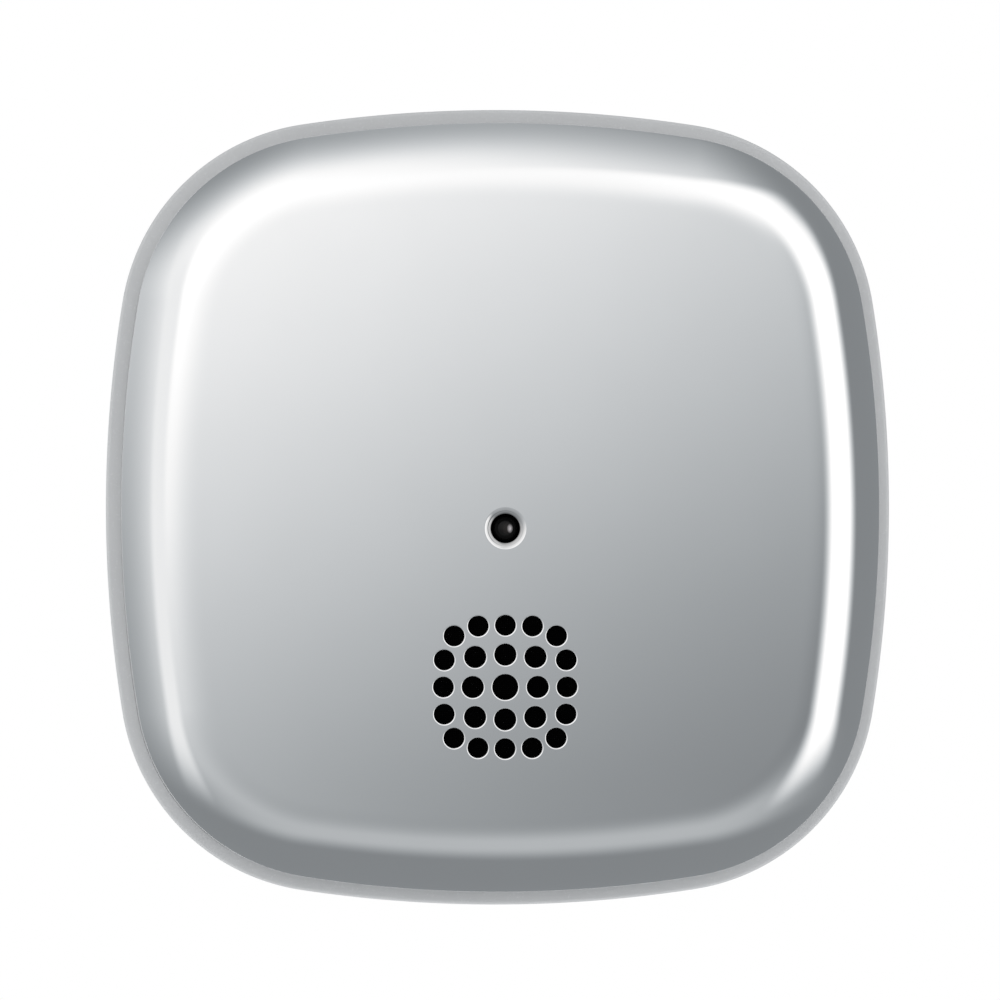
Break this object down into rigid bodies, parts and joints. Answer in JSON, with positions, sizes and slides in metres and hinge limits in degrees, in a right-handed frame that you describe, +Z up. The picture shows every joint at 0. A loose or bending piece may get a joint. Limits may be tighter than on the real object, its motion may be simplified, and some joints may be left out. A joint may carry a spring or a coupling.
{
  "type": "alarm siren",
  "caption": "Wall-mounted indoor alarm siren with a crowned square cover that swings up, a small status lamp and a round sound grille.",
  "frame": {"origin": "middle of the housing's back face, on the wall", "axes": "+Z up as it hangs, +Y into the wall, the cover faces -Y, +X to the right seen from the front"},
  "size_m": [0.086, 0.0299, 0.0872],
  "materials": {
    "cover_silver": "polished metallised silver",
    "rim_silver": "satin silver grey",
    "black_plastic": "fine matte moulding",
    "mesh_cloth": "fine black woven mesh",
    "screw_steel": "zinc plated",
    "board_green": "green solder mask over glass fibre",
    "board_blue": "blue solder mask over glass fibre",
    "brass_sheet": "thin rolled sheet",
    "piezo_white": "fired ceramic with a silvered face",
    "foam": "soft open-cell foam",
    "wire_red": "soft insulated wire",
    "wire_black": "soft insulated wire",
    "lamp_dark": "dark tinted moulded lens",
    "tinned_lead": "tinned wire",
    "white_plastic": "white moulding",
    "cream_plastic": "cream moulding",
    "spring_steel": "drawn spring wire",
    "cell_steel": "nickel plated can",
    "cell_sleeve": "shrunk plastic sleeve",
    "nickel": "nickel plated strip",
    "shield_tin": "tin plated sheet",
    "copper_wire": "enamelled copper wire",
    "ferrite": "pressed ferrite",
    "can_navy": "shrunk sleeve on an aluminium can",
    "chip_black": "moulded epoxy",
    "chip_brown": "small ceramic parts",
    "solder": "solder"
  },
  "bodies": {
    "base": {"base_housing": "rim_silver", "lock_screw": "screw_steel", "main_pcb": "board_green", "pcb_screws": "screw_steel", "sounder_cup": "black_plastic", "sounder_cap": "black_plastic", "piezo_plate": "brass_sheet", "piezo_ceramic": "piezo_white", "sounder_foam": "foam", "sounder_screws": "screw_steel", "lead_red": "wire_red", "lead_black": "wire_black", "lamp_lens": "lamp_dark", "lamp_leads": "tinned_lead", "lamp_spacer": "white_plastic", "tamper_switch": "black_plastic", "tamper_spring": "spring_steel", "learn_switch": "black_plastic", "power_switch": "black_plastic", "power_switch_frame": "shield_tin", "battery_left": "cell_steel", "battery_right": "cell_steel", "battery_label_left": "cell_sleeve", "battery_label_right": "cell_sleeve", "cradle_left": "black_plastic", "cradle_right": "black_plastic", "contact_plates": "nickel", "contact_springs": "spring_steel", "radio_board": "board_blue", "radio_shield": "shield_tin", "antenna": "copper_wire", "coil_core": "ferrite", "coil_winding": "copper_wire", "capacitor": "can_navy", "controller_chip": "chip_black", "small_chips": "chip_brown", "solder_pads": "solder"},
    "cover": {"front_cover": "cover_silver", "grille_mesh": "mesh_cloth"},
    "tamper_plunger": {"tamper_plunger": "white_plastic"},
    "learn_button": {"learn_button": "cream_plastic"},
    "power_knob": {"power_knob": "white_plastic"}
  },
  "joints": [
    {"name": "cover_hinge", "type": "hinge", "parent": "base", "child": "cover", "pos_m": [0, -0.0125, 0.0356], "axis": [-1, 0, 0], "range_deg": [0, 75]},
    {"name": "tamper_plunger_slide", "type": "slide", "parent": "base", "child": "tamper_plunger", "axis": [0, -1, 0], "range_m": [0, 0.0015], "deforming": ["tamper_spring"]},
    {"name": "learn_button_press", "type": "slide", "parent": "base", "child": "learn_button", "axis": [0, 1, 0], "range_m": [0, 0.0003], "stiffness_N_per_m": 3000, "springref_m": -0.0003},
    {"name": "power_knob_slide", "type": "slide", "parent": "base", "child": "power_knob", "axis": [1, 0, 0], "range_m": [0, 0.002]}
  ],
  "couplings": [
    {"joint": "tamper_plunger_slide", "follows": "cover_hinge", "m_per_rad": 0.001145}
  ]
}
